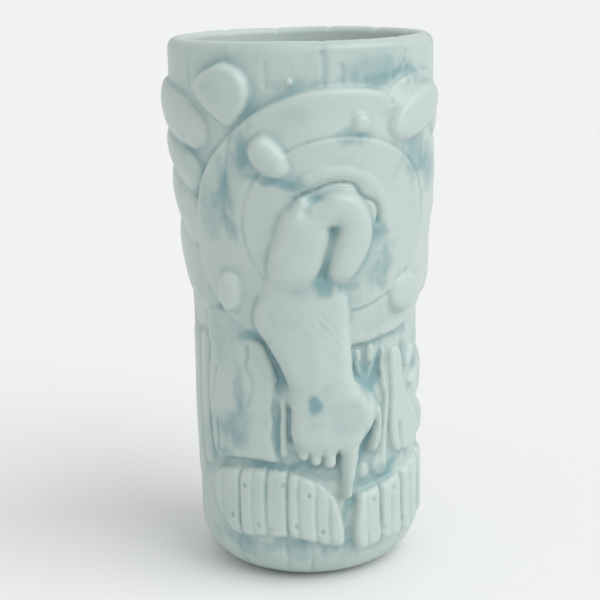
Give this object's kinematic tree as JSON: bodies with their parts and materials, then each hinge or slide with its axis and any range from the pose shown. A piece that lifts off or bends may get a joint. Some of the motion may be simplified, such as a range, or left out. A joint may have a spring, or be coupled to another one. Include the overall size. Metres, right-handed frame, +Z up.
{
  "type": "tiki mug",
  "caption": "Tall glazed ceramic tiki mug, wider at the rim, with an animal head, a pointing hand, blank plaques, bark and mane locks in relief round its front.",
  "frame": {"origin": "centre of the flat resting face under the cup", "axes": "+Z up along the cup's axis, the head faces -Y, the head's right-hand ear as seen from the front is towards +X"},
  "size_m": [0.0842, 0.0863, 0.165],
  "materials": {
    "cup_glaze": "satin celadon glaze, darker and bluer where it pools in the grooves",
    "relief_glaze": "the same satin glaze, thinner and paler on the raised parts"
  },
  "bodies": {
    "root": {"cup": "cup_glaze", "right_lobe": "relief_glaze", "left_lobe": "relief_glaze", "thumb": "relief_glaze", "hand_back": "relief_glaze", "index_finger": "relief_glaze", "middle_finger": "relief_glaze", "ring_finger": "relief_glaze", "little_finger": "relief_glaze", "forearm": "relief_glaze", "left_eye": "relief_glaze", "right_eye": "relief_glaze", "left_ear": "relief_glaze", "right_ear": "relief_glaze", "right_ear_back": "relief_glaze", "left_knob": "relief_glaze", "right_knob": "relief_glaze", "brow_peg": "relief_glaze", "mouth_lip": "relief_glaze", "face_plate": "relief_glaze", "head_disc": "relief_glaze", "left_lock_1": "relief_glaze", "right_lock_1": "relief_glaze", "left_lock_2": "relief_glaze", "right_lock_2": "relief_glaze", "left_lock_3": "relief_glaze", "right_lock_3": "relief_glaze", "left_lock_4": "relief_glaze", "right_lock_4": "relief_glaze", "left_plaque": "relief_glaze", "right_plaque": "relief_glaze", "left_bark_slab": "relief_glaze", "left_bark_strip_1": "relief_glaze", "left_bark_strip_2": "relief_glaze", "left_bark_strip_3": "relief_glaze", "right_bark_drip_1": "relief_glaze", "right_bark_drip_2": "relief_glaze", "right_bark_drip_3": "relief_glaze", "right_bark_drip_4": "relief_glaze", "right_bark_drip_5": "relief_glaze", "right_bark_drip_6": "relief_glaze", "right_bark_drip_7": "relief_glaze", "right_bark_drip_8": "relief_glaze", "right_bark_drip_9": "relief_glaze"}
  },
  "joints": []
}
